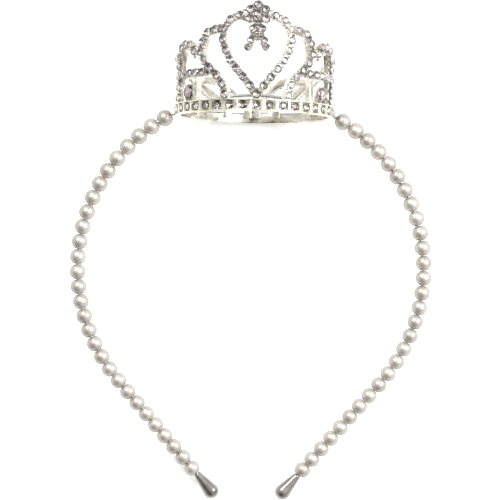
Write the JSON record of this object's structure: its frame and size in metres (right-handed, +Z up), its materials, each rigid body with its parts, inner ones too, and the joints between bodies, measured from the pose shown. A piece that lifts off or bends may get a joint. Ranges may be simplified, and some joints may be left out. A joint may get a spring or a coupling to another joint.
{
  "type": "mini crown headband",
  "caption": "Thin metal headband strung with pearls, with a small round open crown of stone-set scrolls and a heart on top; worn over the head.",
  "frame": {"origin": "middle of the bounding box in X and Y, on the surface that the headband rests on", "axes": "+X from the wearer's right-hand leg of the hoop to the left-hand one as the front is seen, +Y along the hoop from its two free ends towards the crown's top, +Z up from the surface, towards the crown's front"},
  "size_m": [0.1158, 0.1481, 0.0568],
  "materials": {
    "wire": "bright drawn spring steel",
    "pearl": "pearl lacquer",
    "end_cap": "dark grey pearl lacquer",
    "silver_plate": "bright silver plate on a cast zinc alloy",
    "crystal": "cut and polished, with foil at the back"
  },
  "bodies": {
    "root": {"hoop_wire": "wire", "pearls_left": "pearl", "pearls_right": "pearl", "tip_left": "end_cap", "tip_right": "end_cap", "crown_frame": "silver_plate", "band_stones": "crystal", "scroll_stones": "crystal", "side_stone_left": "crystal", "side_stone_right": "crystal"}
  },
  "joints": []
}
